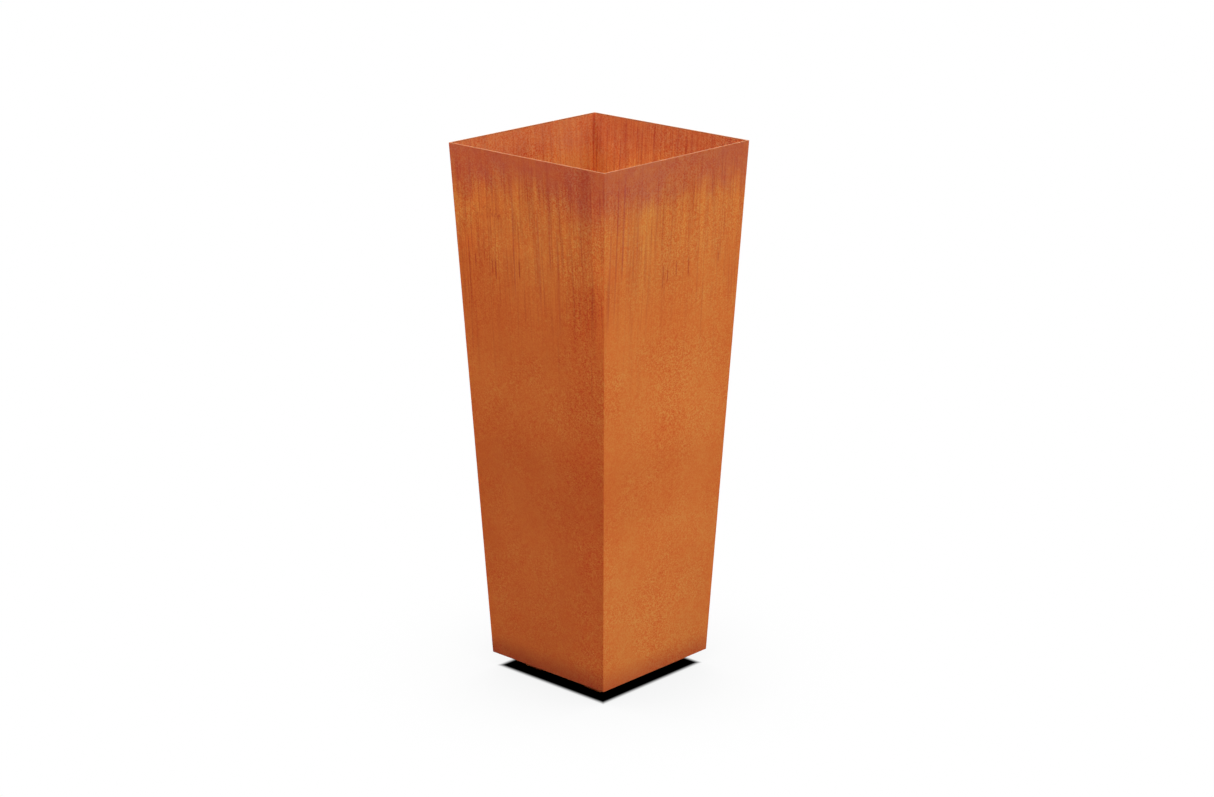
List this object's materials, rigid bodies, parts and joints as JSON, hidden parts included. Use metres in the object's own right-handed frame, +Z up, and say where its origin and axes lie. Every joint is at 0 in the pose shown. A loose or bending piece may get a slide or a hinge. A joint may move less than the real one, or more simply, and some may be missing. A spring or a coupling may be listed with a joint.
{
  "type": "planter box",
  "caption": "Tall square planter box of weathering steel sheet that widens towards its open top and stands on short recessed feet.",
  "frame": {"origin": "on the ground under the middle of the box, level with the soles of the feet", "axes": "+Z up; the front wall faces -Y and the right wall faces +X"},
  "size_m": [0.35, 0.35, 0.925],
  "materials": {
    "weathering_steel": "matte",
    "ground_corner_weld": "matte",
    "floor_steel": "matte",
    "weld_bead": "matte"
  },
  "bodies": {
    "root": {"front_wall": "weathering_steel", "right_wall": "weathering_steel", "back_wall": "weathering_steel", "left_wall": "weathering_steel", "front_right_corner_weld": "ground_corner_weld", "back_right_corner_weld": "ground_corner_weld", "back_left_corner_weld": "ground_corner_weld", "front_left_corner_weld": "ground_corner_weld", "floor_plate": "floor_steel", "front_floor_weld": "weld_bead", "right_floor_weld": "weld_bead", "back_floor_weld": "weld_bead", "left_floor_weld": "weld_bead", "front_left_foot": "weathering_steel", "front_left_foot_left_weld": "weld_bead", "front_left_foot_right_weld": "weld_bead", "front_right_foot": "weathering_steel", "front_right_foot_left_weld": "weld_bead", "front_right_foot_right_weld": "weld_bead", "back_left_foot": "weathering_steel", "back_left_foot_left_weld": "weld_bead", "back_left_foot_right_weld": "weld_bead", "back_right_foot": "weathering_steel", "back_right_foot_left_weld": "weld_bead", "back_right_foot_right_weld": "weld_bead"}
  },
  "joints": []
}
